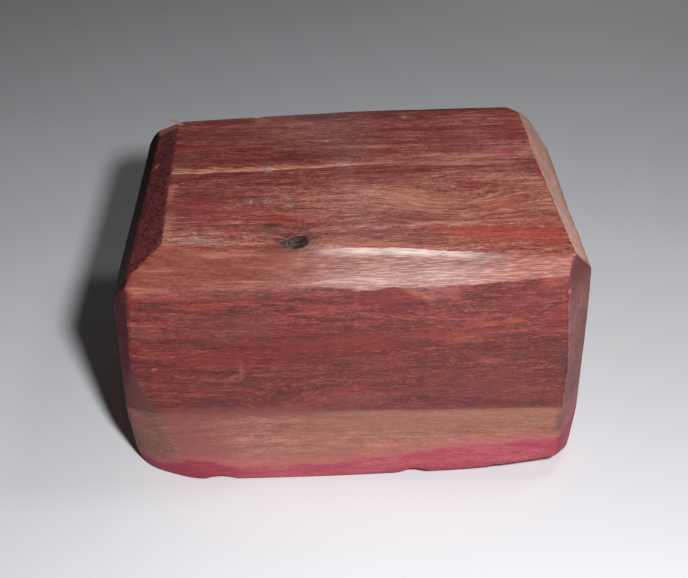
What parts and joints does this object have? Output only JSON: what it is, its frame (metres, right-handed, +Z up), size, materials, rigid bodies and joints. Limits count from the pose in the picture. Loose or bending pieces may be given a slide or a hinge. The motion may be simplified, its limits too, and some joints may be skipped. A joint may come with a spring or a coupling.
{
  "type": "wooden ink block",
  "caption": "Hand-cut wooden hand block with knife-bevelled edges, a knot, a pale lower layer and a dried ink film on its gouged underside.",
  "frame": {"origin": "middle of the underside, on the surface that the block stands on", "axes": "+X along the grain and the block's length, -Y towards the front with the widest top bevel, +Z up away from the inked underside"},
  "size_m": [0.072, 0.056, 0.0409],
  "materials": {
    "dark_wood": "knife-cut reddish brown hardwood, ink-stained, satin",
    "pale_wood": "paler tan pink wood, matt, crimson ink stain along its lower edge",
    "dried_ink": "thin dried crimson ink film, matt to satin",
    "knot_wood": "grey-black dead knot, matt",
    "splinter_wood": "raw lifted grain, matt"
  },
  "bodies": {
    "root": {"dark_wood_body": "dark_wood", "pale_wood_base": "pale_wood", "ink_film": "dried_ink", "knot": "knot_wood", "splinter": "splinter_wood"}
  },
  "joints": []
}
